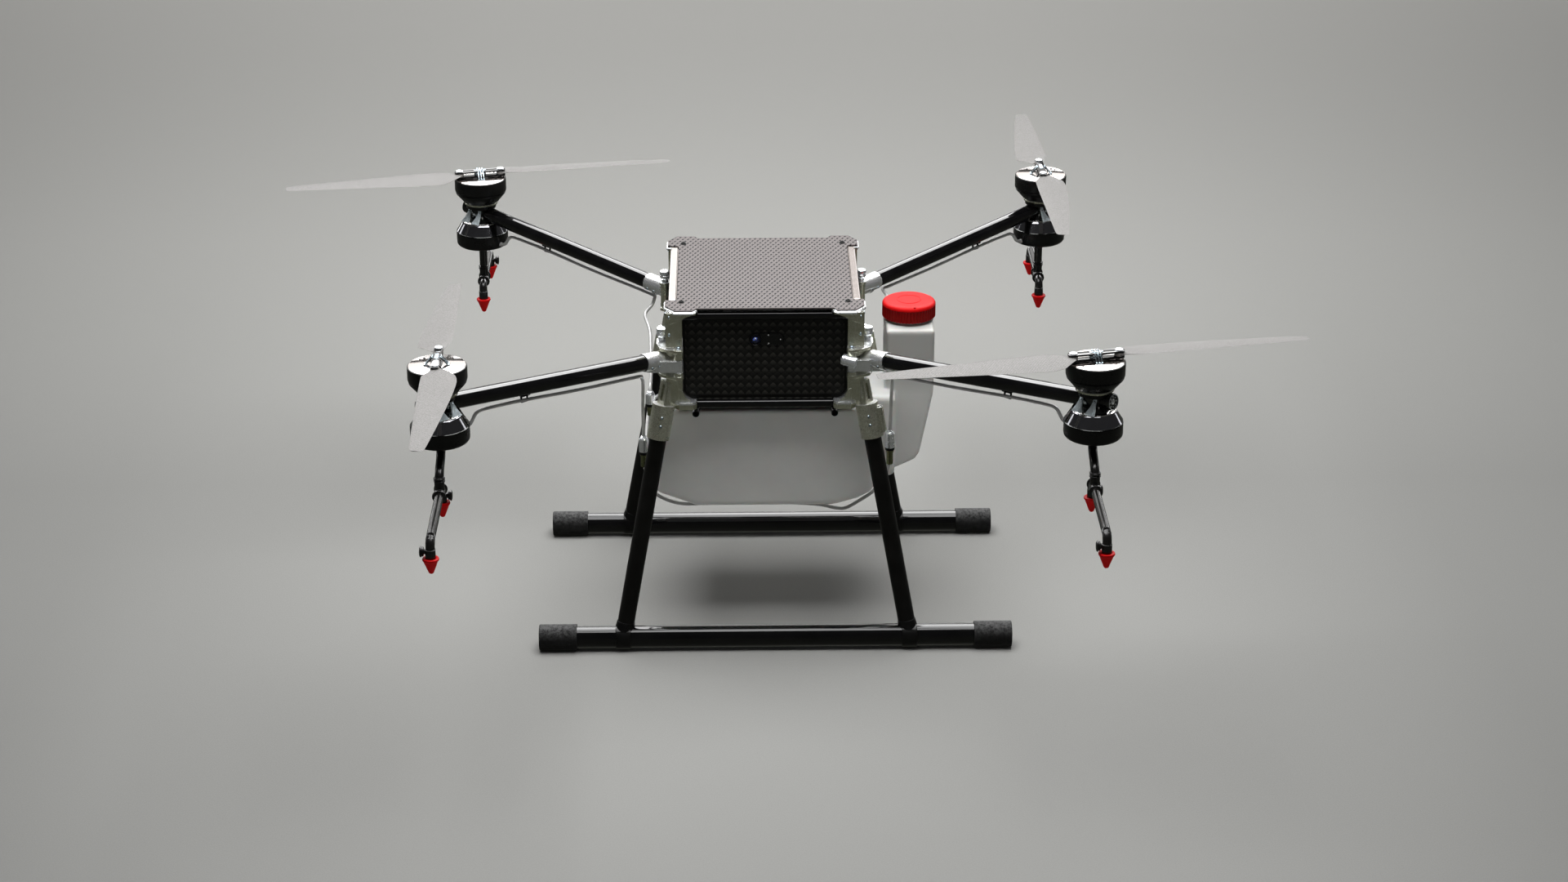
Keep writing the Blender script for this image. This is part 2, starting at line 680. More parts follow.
def on_arm(distance, side=0.0, lift=0.0):
    """A point along the arm's axis, measured outwards from the motor."""
    return Vector((*MOTOR_XY, ARM_Z_AT_MOTOR)) + ARM_WAY * distance + ARM_SIDE * side + UP * lift


# ---------------------------------------------------------------- airframe
def lid():
    paint_node("top_plate", WEAVE_TOP)
    heads = []
    for sign_x, sign_y in CORNERS.values():
        place = Vector((sign_x * 0.149, sign_y * 0.1564, TOP_Z))
        heads.append(rod(place - UP * 0.0005, place + UP * 0.0006, 0.0062, sides=32, bevel=0.0003))
        heads.append(screw_head(place + UP * 0.0004, UP, LID_SCREW_RADIUS))
    piece("lid_screws", gathered(heads), HOLE)


def rounded_rectangle(low_x, high_x, low_z, high_z, radius, steps=7):
    """An outline with round corners, anticlockwise from the lower right."""
    made = []
    for centre_x, centre_z, start in (
        (high_x - radius, low_z + radius, -90), (high_x - radius, high_z - radius, 0),
        (low_x + radius, high_z - radius, 90), (low_x + radius, low_z + radius, 180),
    ):
        for step in range(steps + 1):
            angle = math.radians(start + 90 * step / steps)
            made.append((centre_x + radius * math.cos(angle), centre_z + radius * math.sin(angle)))
    return made


def pill(half_height, low_y, high_y):
    """The camera window's outline, with round ends, given thickness along Y."""
    reach = WINDOW_HALF_WIDTH - WINDOW_HALF_HEIGHT
    outline = []
    for side, start in ((1, -90), (-1, 90)):
        for step in range(17):
            angle = math.radians(start + 180 * step / 16)
            x = WINDOW_X + side * reach + half_height * math.cos(angle)
            outline.append((x, WINDOW_Z + half_height * math.sin(angle)))
    return wall(outline, low_y, high_y)


def end_wall(name, face_y, way, stands_for, window=False):
    """A carbon wall in its round-cornered frame, seen from outside along way."""
    half = POST_INNER_X - 0.0005
    inner, outer = sorted((face_y - way * 0.0025, face_y))
    skin = box((-half, inner, 0.4645), (half, outer, 0.616), bevel=0.0003)
    if window:
        skin = cut(skin, pill(WINDOW_HALF_HEIGHT + 0.0004, face_y - 0.01, face_y + 0.01))
    piece(name, skin, WEAVE_FRONT, stands_for=stands_for)
    near, far = sorted((face_y, face_y + way * 0.0014))
    border = wall([(-half, 0.46), (half, 0.46), (half, 0.62), (-half, 0.62)], near, far)
    opening = wall(rounded_rectangle(-half + 0.005, half - 0.005, 0.47, 0.6125, 0.011), near - 0.01, far + 0.01)
    piece(name + "_border", cut(border, opening), MATT)


def rails():
    reach = {RAIL_TOP_Z: POST_INNER_X - 0.001, RAIL_BOTTOM_Z: 0.1225}
    bars = []
    for side in (-1, 1):
        for z, half in reach.items():
            bars.append(rod((-half, side * RAIL_Y, z), (half, side * RAIL_Y, z), RAIL_RADIUS, sides=48))
    piece("frame_rails", gathered(bars), GLOSS)
    bars, caps = [], []
    for x in (-0.125, 0.125):
        hollow = rod((x, -0.25, 0.438), (x, 0.25, 0.438), 0.0048, sides=32)
        bars.append(cut(rod((x, -0.1903, 0.438), (x, 0.1903, 0.438), 0.0062, sides=40), hollow))
        caps.append(rod((x, -0.18, 0.438), (x, 0.18, 0.438), 0.0047, sides=24))
        for y in (-0.16, 0.16):
            bars.append(box((x - 0.005, y - 0.004, 0.44), (x + 0.005, y + 0.004, 0.462), bevel=0.0008))
            bars.append(rod((x, y - 0.005, 0.438), (x, y + 0.005, 0.438), 0.0078, sides=32, bevel=0.0006))
    piece("tank_rails", gathered(bars), SATIN, slot="gloss_black_tube")
    piece("tank_rail_plugs", gathered(caps), HOLE)


def floor_and_walls():
    half, lip = POST_INNER_X - 0.0005, 0.121
    plates = [
        box((-half, -0.1665, FLOOR_Z), (half, 0.1665, FLOOR_Z + 0.003), bevel=0.0004),
        box((-lip, -0.1796, FLOOR_Z), (lip, 0.1796, FLOOR_Z + 0.003), bevel=0.0004),
    ]
    ribs = [
        box((x - 0.003, -0.15, FLOOR_Z - 0.0025), (x + 0.003, 0.15, FLOOR_Z), bevel=0.0008)
        for x in (-0.09, -0.03, 0.03, 0.09)
    ]
    piece("floor_plate", gathered(plates), WEAVE_FLOOR, stands_for=("base_tray",))
    piece("floor_ribs", gathered(ribs), MATT)
    end_wall("front_skin", -0.1745, -1, ("front_panel",), window=True)
    end_wall("rear_skin", 0.1745, 1, ())
    for side, node in ((-1, "left_panel"), (1, "right_panel")):
        side_wall(side, node)


def side_wall(side, node):
    """A side's weave skin, its pale upper flange, dimmer on the right, and its round-cornered border with screws."""
    name = node.replace("panel", "side")
    half_y = POST_INNER_Y - 0.0008
    skin = box((0.165, -half_y, 0.464), (0.1675, half_y, 0.632), bevel=0.0003)
    piece(name + "_skin", mirrored(skin, side, 1), WEAVE_SIDE, stands_for=(node,))
    flange = box((0.158, -0.1395, 0.6335), (0.1718, 0.1395, 0.639), bevel=0.0016, segments=3)
    lip = box((0.1652, -0.1385, 0.62), (0.1692, 0.1385, 0.638), bevel=0.001)
    tone = PALE_DIM if side > 0 else PALE
    piece(name + "_flange", mirrored(gathered([flange, lip]), side, 1), tone)
    border = slab([(-half_y, 0.464), (half_y, 0.464), (half_y, 0.631), (-half_y, 0.631)], 0.1675, 0.1687)
    opening = slab(rounded_rectangle(-half_y + 0.006, half_y - 0.006, 0.472, 0.621, 0.012), 0.16, 0.18)
    border = cut(border, opening)
    border.transform(Matrix(((0, 0, 1, 0), (1, 0, 0, 0), (0, 1, 0, 0), (0, 0, 0, 1))))
    piece(name + "_border", mirrored(border, side, 1), MATT)
    places = [(0.1685, y, z) for y in (-0.145, -0.0725, 0.0, 0.0725, 0.145) for z in (0.468, 0.6255)]
    heads = [screw_head(place, (1, 0, 0), PANEL_SCREW_RADIUS) for place in places]
    piece(name + "_screws", mirrored(gathered(heads), side, 1), STEEL)


def camera_window():
    """The window standing in the front wall: satin shell, black glass, round lens and three small lamps."""
    y = -0.1762
    shell = cut(pill(WINDOW_HALF_HEIGHT, y, -0.17), pill(WINDOW_HALF_HEIGHT - 0.0012, y - 0.01, y + 0.0012))
    piece("window_shell", shell, SATIN)
    piece("window_glass", pill(WINDOW_HALF_HEIGHT - 0.0013, y + 0.0008, -0.17), GLOSS, slot="matt_black")
    lens_x, lens_z = WINDOW_X - WINDOW_HALF_WIDTH + 0.0118, WINDOW_Z - 0.0006
    rings = [
        [(0.0116, -0.0008), (0.0116, 0.0016), (0.0104, 0.0022), (0.0092, 0.0006), (0.0092, -0.0008), (0.0116, -0.0008)],
        [(0.0071, -0.001), (0.0071, 0.0008), (0.0062, 0.001), (0.0058, -0.001), (0.0071, -0.001)],
    ]
    place, front = Vector((lens_x, y, lens_z)), Vector((lens_x, y - 1.0, lens_z))
    piece("lens_rings", gathered([aimed(turned(ring), place, front) for ring in rings]), SATIN)
    dome = [(0.0093, -0.0012), (0.0076, -0.0002), (0.005, 0.0008), (0.0022, 0.0013), (0.0, 0.0014)]
    piece("lens_dome", aimed(turned(dome + [(0.0, -0.0012)]), place, front), LENS)
    bloom = slab([(-0.0052, -0.0006), (-0.004, 0.0036), (0.0002, 0.0056), (0.0042, 0.0036), (0.003, 0.0004),
                  (-0.001, -0.001)], 0.001, 0.0016, bevel=0.0002)
    glint = turned([(0.0, 0.0028), (0.0009, 0.0026), (0.0016, 0.0021), (0.0021, 0.0014), (0.0, 0.001)],
                   (-0.0002, 0.0022), 24)
    face = Matrix.Translation(place) @ Matrix.Rotation(math.radians(90.0), 4, "X")
    for name, mesh, finish in (("lens_bloom", bloom, BLOOM), ("lens_glint", glint, BRIGHT)):
        mesh.transform(face)
        piece(name, mesh, finish, slot="matt_black")
    lamps = []
    for x, z in ((0.0064, 0.5838), (0.0064, 0.5676), (0.028, 0.5755)):
        lamps.append(rod((x, y + 0.001, z), (x, y + 0.0001, z), 0.00125, sides=20, bevel=0.0003))
    piece("window_lamps", gathered(lamps), WHITE)
    case = box((-0.06, -0.17, 0.5), (0.06, -0.118, 0.592), bevel=0.004, segments=3)
    piece("controller_case", case, CASE, stands_for=("camera_controller_unit",))
    paint_node("battery", CASE)


# ---------------------------------------------------------------- corner castings
def lug_outline():
    """Plan of a hinge plate: a rounded nose round the hinge, then out to the lock pillar."""
    nose = []
    for step in range(9):
        angle = math.radians(175 - 115 * step / 8)
        nose.append((HINGE.x + 0.0095 * math.cos(angle), HINGE.y + 0.0095 * math.sin(angle)))
    tail = []
    for step in range(9):
        angle = math.radians(25 - 200 * step / 8)
        tail.append((LOCK.x + 0.0103 * math.cos(angle), LOCK.y + 0.0103 * math.sin(angle)))
    return nose + [(0.179, 0.199), (0.188, 0.192), (0.1945, 0.168)] + tail + [(0.172, 0.17), (0.15, 0.18)]


def casting():
    """The corner casting in one welded body."""
    column = box((POST_INNER_X, POST_INNER_Y, 0.452), (BODY_HALF_X, BODY_HALF_Y, TOP_Z - 0.0065), bevel=0.0022)
    tab = [(0.122, 0.146), (0.1797, 0.146), (0.1797, 0.175), (0.1625, 0.201), (0.128, 0.201), (0.12, 0.189)]
    foot = [(0.123, 0.168), (0.1625, 0.168), (0.1625, 0.19), (0.154, 0.199), (0.13, 0.199), (0.123, 0.192)]
    gusset = wall(
        [(0.17, 0.635), (0.17, 0.613), (0.161, 0.617), (0.15, 0.622), (0.14, 0.627), (0.13, 0.6305),
         (0.123, 0.6315), (0.123, 0.635)],
        0.17,
        0.199,
    )
    heel = wall(
        [(0.155, 0.455), (0.155, 0.486), (0.1485, 0.483), (0.143, 0.47), (0.133, 0.463), (0.124, 0.46),
         (0.124, 0.455)],
        0.175,
        0.1905,
    )
    pieces = [
        slab(tab, TOP_Z - 0.0075, TOP_Z - 0.003),
        slab(foot, 0.449, 0.4622),
        gusset,
        heel,
        slab(lug_outline(), 0.5615, 0.5668),
        slab(lug_outline(), 0.5114, 0.5166),
        rod((HINGE.x, HINGE.y, 0.5485), (HINGE.x, HINGE.y, 0.569), LUG_RADIUS),
        rod((HINGE.x, HINGE.y, 0.509), (HINGE.x, HINGE.y, 0.5235), LUG_RADIUS),
        rod((LOCK.x, LOCK.y, 0.513), (LOCK.x, LOCK.y, 0.565), 0.0084),
        box((0.1725, 0.16, 0.514), (0.18, 0.172, 0.564)),
    ]
    return combine(column, pieces)


def leg_socket(split):
    """Socket on its slotted neck. A split socket has a slit and two clamp ears, for its bolts."""
    socket = rod(LEG_TOP - LEG_WAY * SOCKET_LENGTH, LEG_TOP, SOCKET_RADIUS, sides=56)
    neck = box((-0.0115, -0.0085, -0.01), (0.0115, 0.0085, 0.044), bevel=0.0014)
    slot = box((-0.003, -0.02, 0.006), (0.003, 0.02, 0.037))
    turn = LEG_WAY.to_track_quat("Z", "Y").to_matrix().to_4x4()
    for mesh in (neck, slot):
        mesh.transform(Matrix.Translation(LEG_TOP) @ turn)
    tools = [neck]
    bore = rod(LEG_TOP - LEG_WAY * 0.08, LEG_TOP - LEG_WAY * 0.012, LEG_RADIUS + 0.0003, sides=48)
    cuts = [bore, slot]
    if split:
        ears = box((0.014, -0.0075, -0.058), (0.0275, 0.0075, -0.008), bevel=0.003, segments=3)
        slit = box((0.012, -0.0016, -0.07), (0.032, 0.0016, -0.01))
        aim = Matrix.Translation(LEG_TOP) @ turn @ Matrix.Rotation(CLAMP_TURN, 4, "Z")
        for mesh in (ears, slit):
            mesh.transform(aim)
        tools.append(ears)
        cuts.append(slit)
    return cut(combine(socket, tools), *cuts)


def corner_screws():
    """Steel heads on the casting's end face and on the leg socket."""
    heads = [screw_head((0.1705, BODY_HALF_Y - 0.0004, z), (0, 1, 0), SCREW_RADIUS) for z in (0.6235, 0.5905)]
    heads += [screw_head((BODY_HALF_X - 0.0004, 0.17, z), (1, 0, 0), SCREW_RADIUS) for z in (0.6235, 0.49)]
    heads.append(screw_head((HINGE.x, HINGE.y, 0.5688), (0, 0, 1), 0.0042))
    heads.append(screw_head((HINGE.x, HINGE.y, 0.5092), (0, 0, -1), 0.0042))
    outward = Vector((0.0, 1.0, 0.0))
    outward = (outward - LEG_WAY * outward.dot(LEG_WAY)).normalized()
    for drop in (0.022, 0.038):
        place = LEG_TOP - LEG_WAY * drop + outward * (SOCKET_RADIUS - 0.0006)
        heads.append(screw_head(place, outward, SCREW_RADIUS))
    return gathered(heads)


def knob():
    """Lock pin: a grooved, knurled knob on its shaft."""
    base = LOCK.z
    profile = [
        (0.0, base + 0.023), (0.0075, base + 0.023), (0.0092, base + 0.0222), (0.01, base + 0.0205),
        (0.01, base + 0.0165), (0.0092, base + 0.0155), (0.0092, base + 0.0145), (0.01, base + 0.0135),
        (0.01, base + 0.0095), (0.009, base + 0.008), (0.0068, base + 0.006), (0.0068, base + 0.0002), (0.0036, base),
        (0.0036, base - 0.0145), (0.0, base - 0.0145),
    ]
    return turned(profile, (LOCK.x, LOCK.y), steps=48)


def corners():
    body, heads, pin, rims = casting(), corner_screws(), knob(), strap()
    sockets = {1: leg_socket(True), -1: leg_socket(False)}
    for corner, (sign_x, _) in CORNERS.items():
        corner_piece(corner, "casting", body, METAL, node="corner_post")
        corner_piece(corner, "leg_socket", sockets[sign_x], SOCKET)
        corner_piece(corner, "casting_screws", heads, STEEL)
        corner_piece(corner, "strap", rims, BRIGHT)
        corner_piece(corner, "lock_knob", pin, BRIGHT, f"lock_pin_{corner}", "arm_lock_pin")


def strap():
    """Bright machined rims of the casting: under the lid's tab and round the top of the foot."""
    tab = [(0.12, 0.1455), (0.1803, 0.1455), (0.1803, 0.1752), (0.1629, 0.2018), (0.1276, 0.2018), (0.1196, 0.1892)]
    foot = [(0.1232, 0.18), (0.1627, 0.18), (0.1627, 0.1902), (0.1542, 0.1992), (0.13, 0.1992), (0.1232, 0.1924)]
    rims = [chamfered(tab, TOP_Z - 0.0074, TOP_Z - 0.0026, 0.0022), chamfered(foot, 0.4585, 0.463, 0.0018)]
    return gathered(rims)


def chamfered(outline, low_z, high_z, width):
    """A flat plate with a straight chamfer round its upper edge."""
    centre_x = sum(x for x, y in outline) / len(outline)
    centre_y = sum(y for x, y in outline) / len(outline)
    made = bmesh.new()
    rows = []
    for z, inset in ((low_z, 0.0), (high_z - width, 0.0), (high_z, width)):
        row = []
        for x, y in outline:
            way = Vector((centre_x - x, centre_y - y, 0.0)).normalized()
            row.append(made.verts.new(Vector((x, y, z)) + way * inset * 1.25))
        rows.append(row)
    count = len(outline)
    for lower, upper in zip(rows, rows[1:]):
        for k in range(count):
            made.faces.new((lower[k], lower[(k + 1) % count], upper[(k + 1) % count], upper[k]))
    made.faces.new(rows[0])
    made.faces.new(list(reversed(rows[-1])))
    bmesh.ops.recalc_face_normals(made, faces=made.faces)
    return mesh_of(made)


# ---------------------------------------------------------------- tank
TANK_TOP_Z, TANK_BOTTOM_Z = 0.431, 0.2385
TANK_HALF_Y = 0.155
TANK_VOXEL = 0.0026
COLUMN_TOP_Z = 0.546
COLUMN_Y = (-0.062, 0.078)
WING_Y = (-0.1, 0.11)


def tank_body():
    """The blow-moulded tank: rounded blocks melted into one skin."""
    body = wall(
        [
            (-0.192, TANK_TOP_Z), (-0.2008, 0.267), (-0.1605, 0.2525), (-0.1265, TANK_BOTTOM_Z),
            (0.124, TANK_BOTTOM_Z), (0.169, 0.251), (0.199, 0.267), (0.1925, TANK_TOP_Z),
        ],
        -TANK_HALF_Y,
        TANK_HALF_Y,
    )
    wing = box((0.15, WING_Y[0], 0.272), (0.24, WING_Y[1], TANK_TOP_Z))
    column = wall(
        [
            (0.224, COLUMN_TOP_Z), (0.224, 0.3), (0.18, 0.272), (0.2303, 0.2674), (0.278, 0.2895), (0.2875, 0.3049),
            (0.3112, 0.4242), (0.312, COLUMN_TOP_Z),
        ],
        *COLUMN_Y,
    )
    blocks = [rounded(mesh, width, 4) for mesh, width in ((body, 0.017), (wing, 0.01), (column, 0.005))]
    melted = temporary(combine(blocks[0], blocks[1:]))
    remesh = melted.modifiers.new("remesh", "REMESH")
    remesh.mode = "VOXEL"
    remesh.voxel_size = TANK_VOXEL
    smooth = melted.modifiers.new("smooth", "SMOOTH")
    smooth.factor = 0.5
    smooth.iterations = 3
    return evaluated(melted)


def tank_seams():
    """The filler's foot ring, its throat and its screw threads."""
    neck = turned(
        [(0.04, 0.548), (0.0445, 0.545), (0.046, 0.544), (0.04, 0.544), (0.04, 0.548)],
        NECK_XY,
    )
    throat = turned([(0.04, 0.572), (0.04, 0.544), (0.0365, 0.544), (0.0365, 0.572), (0.04, 0.572)],
                    NECK_XY)
    threads = []
    for z in (0.5545, 0.5605, 0.5665):
        threads.append(
            turned([(0.0398, z + 0.0014), (0.041, z), (0.0398, z - 0.0014), (0.0398, z + 0.0014)], NECK_XY)
        )
    return gathered([neck, throat] + threads)


def cap():
    """Screw cap: its ribbed skirt, and apart from it the rounded top with a raised ring and a small tick."""
    low, high = NECK_LOW.z, NECK_HIGH.z
    radius = NECK_HIGH.x - NECK.x
    outline = []
    for step in range(CAP_RIBS * 6):
        angle = math.tau * step / (CAP_RIBS * 6)
        wave = 0.5 + 0.5 * math.cos(angle * CAP_RIBS)
        reach = radius - CAP_RIB_DEPTH * (1.0 - wave**0.7)
        outline.append((NECK.x + reach * math.cos(angle), NECK.y + reach * math.sin(angle)))
    skirt = slab(outline, low + 0.0006, high - 0.0075)
    bore = rod((NECK.x, NECK.y, low - 0.01), (NECK.x, NECK.y, high - 0.008), 0.042, sides=56)
    skirt = cut(skirt, bore)
    crown = turned(
        [
            (0.0, high - 0.0008), (0.02, high - 0.0008), (0.04, high - 0.001), (radius - 0.005, high - 0.0016),
            (radius - 0.0018, high - 0.0034), (radius - 0.0002, high - 0.0062), (radius - 0.0002, high - 0.0088),
            (0.0, high - 0.0088),
        ],
        NECK_XY,
        steps=96,
    )
    ring_radius = 0.0215
    ring = turned(
        [
            (ring_radius + 0.0008, high - 0.001), (ring_radius, high - 0.0001), (ring_radius - 0.0008, high - 0.001),
            (ring_radius + 0.0008, high - 0.001),
        ],
        NECK_XY,
        steps=72,
    )
    tick = box((NECK.x + 0.006, NECK.y - 0.045, high - 0.003), (NECK.x + 0.01, NECK.y - 0.039, high - 0.0004),
               bevel=0.0006)
    liner = rod((NECK.x, NECK.y, high - 0.0095), (NECK.x, NECK.y, high - 0.0078), 0.0425, sides=56)
    return skirt, gathered([crown, ring, tick, liner])


def fitting(x, y, top_z, bottom_z):
    """Push-in fitting: its bright collar with the hose's entry ring, its olive stem and its black ring."""
    height = top_z - bottom_z
    split = top_z - 0.5 * height
    bright = [
        [(0.0, top_z), (0.006, top_z), (0.0084, top_z - 0.003), (0.0088, top_z - 0.007), (0.0088, split),
         (0.008, split - 0.001), (0.0, split - 0.001)],
        [(0.0034, top_z + 0.003), (0.0052, top_z + 0.0024), (0.0056, top_z - 0.001), (0.0034, top_z - 0.001),
         (0.0034, top_z + 0.003)],
    ]
    stem = [(0.0, split), (0.0074, split), (0.0074, split - 0.12 * height), (0.006, split - 0.16 * height),
            (0.0062, bottom_z), (0.0, bottom_z)]
    ring = [(0.0086, split + 0.0022), (0.0092, split - 0.001), (0.0086, split - 0.0042), (0.006, split - 0.0042),
            (0.006, split + 0.0022), (0.0086, split + 0.0022)]
    return [turned(p, (x, y), 36) for p in bright], turned(stem, (x, y), 36), turned(ring, (x, y), 36)


FITTINGS = ((-0.2213, -0.14, 0.372, 0.315), (-0.209, -0.1, 0.444, 0.4), (0.229, -0.12, 0.372, 0.308))
FIXED_LINES = (
    [
        (-0.04, 0.19, 0.365), (-0.1, 0.188, 0.352), (-0.185, 0.176, 0.335), (-0.216, 0.13, 0.322),
        (-0.221, 0.0, 0.314), (-0.221, -0.1, 0.31), (-0.218, -0.13, 0.292), (-0.208, -0.142, 0.268),
        (-0.185, -0.142, 0.25), (-0.15, -0.132, 0.235), (-0.1, -0.12, 0.231), (0.0, -0.116, 0.23),
        (0.09, -0.126, 0.23), (0.128, -0.14, 0.2285), (0.148, -0.142, 0.229), (0.175, -0.142, 0.245),
        (0.2, -0.138, 0.262), (0.22, -0.128, 0.285), (0.229, -0.12, 0.315), (0.229, -0.12, 0.34),
    ],
    [(-0.221, -0.14, 0.345), (-0.221, -0.136, 0.315), (-0.221, -0.11, 0.308)],
    [(-0.209, -0.1, 0.41), (-0.21, -0.098, 0.35), (-0.221, -0.085, 0.311)],
    [
        (0.04, 0.19, 0.365), (0.11, 0.188, 0.35), (0.19, 0.172, 0.335), (0.23, 0.14, 0.345), (0.235, 0.138, 0.4),
        (0.235, 0.138, 0.47), (0.2365, 0.155, 0.505), (0.236, 0.196, 0.518),
    ],
    [(-0.2215, -0.14, 0.36), (-0.2215, -0.14, 0.43), (-0.22, -0.155, 0.485), (-0.2215, -0.19, 0.511)],
    [(0.229, -0.12, 0.36), (0.23, -0.124, 0.43), (0.23, -0.15, 0.485), (0.227, -0.188, 0.511)],
    [
        (-0.209, -0.1, 0.438), (-0.209, -0.099, 0.447), (-0.2088, -0.088, 0.4535), (-0.2087, -0.05, 0.454),
        (-0.2107, 0.05, 0.462), (-0.2138, 0.13, 0.475), (-0.2238, 0.175, 0.492), (-0.2101, 0.195, 0.505),
        (-0.2061, 0.2, 0.516),
    ],
)
LINE_AT_JOINT = {"rear_right": 3, "front_left": 4, "front_right": 5, "rear_left": 6}


def pump():
    """Diaphragm pump behind the tank: square head, round motor, ports and bolts, hung from the tray."""
    head = box((-0.045, 0.164, 0.33), (0.045, 0.214, 0.395), bevel=0.004, segments=3)
    piece("pump_head", head, SATIN, stands_for=("pump_with_lines",), slot="hose_plastic")
    ribs = [box((x, 0.1635, 0.334), (x + 0.003, 0.2145, 0.391), bevel=0.001) for x in (-0.036, -0.024, 0.021, 0.033)]
    ribs.append(box((-0.02, 0.164, 0.39), (0.02, 0.1668, FLOOR_Z - 0.0005), bevel=0.0006))
    piece("pump_ribs", gathered(ribs), MATT)
    motor = rod((-0.02, 0.189, 0.33), (0.02, 0.189, 0.33), 0.018, sides=48, bevel=0.0015)
    piece("pump_motor", motor, DARK_METAL)
    heads = [screw_head((x, 0.2139, z), (0, 1, 0), 0.0032) for x in (-0.039, 0.039) for z in (0.336, 0.389)]
    heads += [screw_head((x, 0.1667, 0.435), (0, 1, 0), 0.0028) for x in (-0.012, 0.012)]
    for side in (-1, 1):
        heads.append(rod((side * 0.044, 0.19, 0.365), (side * 0.052, 0.189, 0.364), 0.0056, sides=6))
    piece("pump_screws", gathered(heads), STEEL)


def plumbing():
    piece("fixed_lines", gathered([tube(route, HOSE_RADIUS, 0.006) for route in FIXED_LINES]), HOSE)
    bright, stems, rings = [], [], []
    for numbers in FITTINGS:
        collar, stem, ring = fitting(*numbers)
        bright += collar
        stems.append(stem)
        rings.append(ring)
    piece("fitting_collars", gathered(bright), BRIGHT)
    piece("fitting_stems", gathered(stems), OLIVE_METAL)
    piece("fitting_rings", gathered(rings), SATIN)


def tank():
    piece("tank_shell", tank_body(), TANK, stands_for=("tank",))
    piece("tank_neck", tank_seams(), TANK)
    skirt, crown = cap()
    piece("filler_cap_ribs", skirt, DEEP_RED, "filler_cap")
    piece("filler_cap_crown", crown, RED, "filler_cap", ("tank_cap",))


# ---------------------------------------------------------------- landing gear
def landing_gear():
    reach = SKID_HALF_LENGTH - 0.004
    for name, side in (("skid_front", -1), ("skid_rear", 1)):
        y = side * SKID_Y
        bar = rod((SKID_CENTRE_X - reach, y, SKID_Z), (SKID_CENTRE_X + reach, y, SKID_Z), SKID_RADIUS, sides=96)
        piece(f"{name}_tube", bar, GLOSS, stands_for=(name,))
    strut = rod(LEG_FOOT + LEG_WAY * 0.014, LEG_TOP - LEG_WAY * 0.014, LEG_RADIUS, sides=64)
    saddle = leg_saddle()
    for corner, (sign_x, sign_y) in CORNERS.items():
        corner_piece(corner, "leg_tube", strut, MATT, node="leg")
        corner_piece(corner, "leg_saddle", saddle, SATIN)
        boot(corner, sign_x, sign_y)


def leg_saddle():
    """Clamp that seats the leg on its skid: a ring round the skid and a flared collar round the leg."""
    ring = rod(LEG_FOOT - Vector((0.014, 0, 0)), LEG_FOOT + Vector((0.014, 0, 0)), 0.0226, sides=64, bevel=0.0012)
    bore = rod(LEG_FOOT - Vector((0.03, 0, 0)), LEG_FOOT + Vector((0.03, 0, 0)), SKID_RADIUS + 0.0001, sides=64)
    collar = rod(LEG_FOOT + LEG_WAY * 0.012, LEG_FOOT + LEG_WAY * 0.03, 0.0185, LEG_RADIUS + 0.0008, sides=48)
    return cut(combine(ring, [collar]), bore)


def boot(corner, sign_x, sign_y):
    """Rubber boot with a rounded end, a lip and a flat worn on its underside."""
    y = sign_y * SKID_Y
    outer = SKID_CENTRE_X + sign_x * SKID_HALF_LENGTH
    inner = outer - sign_x * FOOT_LENGTH
    shell = rod((inner, y, SKID_Z), (outer, y, SKID_Z), FOOT_RADIUS, sides=72, bevel=0.0022)
    lip = rod((inner, y, SKID_Z), (inner + sign_x * 0.003, y, SKID_Z), FOOT_RADIUS + 0.0001, sides=72)
    low_x, high_x = min(inner, outer) - 0.01, max(inner, outer) + 0.01
    ground = box((low_x, y - 0.04, -0.02), (high_x, y + 0.04, 0.0))
    bore = rod((inner - sign_x * 0.01, y, SKID_Z), (outer - sign_x * 0.0035, y, SKID_Z), SKID_RADIUS, sides=72)
    shell = cut(combine(shell, [lip]), bore, ground)
    piece(f"boot_{corner}", shell, RUBBER, stands_for=(f"skid_foot_{corner}",))


# ---------------------------------------------------------------- arms
def knuckle():
    """Sleeve round the tube, with its eye on the hinge pin."""
    low, high = 0.5244, 0.5476
    sleeve = rod(on_arm(-0.4945), on_arm(-0.446), 0.0165, sides=64, bevel=0.0008)
    tongue = slab(
        [(0.1545, 0.1925), (0.205, 0.1925), (0.212, 0.205), (0.202, 0.208), (0.1545, 0.2082)],
        low + 0.001,
        high - 0.001,
    )
    eye = rod((HINGE.x, HINGE.y, low), (HINGE.x, HINGE.y, high), 0.0083, sides=40)
    post_room = box((0.1, 0.1, 0.4), (BODY_HALF_X + 0.0012, BODY_HALF_Y + 0.0012, 0.62))
    bore = rod(on_arm(-0.4785), on_arm(-0.4), TUBE_RADIUS + 0.0003, sides=64)
    return cut(combine(sleeve, [tongue, eye]), post_room, bore)


def knuckle_screws():
    heads = []
    for side in (-1, 1):
        way = (ARM_SIDE * side - UP * 0.55).normalized()
        for distance in (-0.472, -0.456):
            heads.append(screw_head(on_arm(distance) + way * 0.016, way, SCREW_RADIUS))
    return gathered(heads)


def arm_peg():
    """Bright clevis peg that only the front right joint carries, turned for that corner."""
    start, end = Vector((0.162, 0.218, 0.545)), Vector((0.137, 0.2095, 0.55))
    way = (end - start).normalized()
    body = rod(start, end, 0.0098, sides=48, bevel=0.0016)
    ring = rod(end - way * 0.0075, end - way * 0.0045, 0.0106, sides=48, bevel=0.0006)
    face = rod(end - way * 0.001, end + way * 0.0012, 0.0052, sides=32, bevel=0.0006)
    return gathered([body, ring, face])


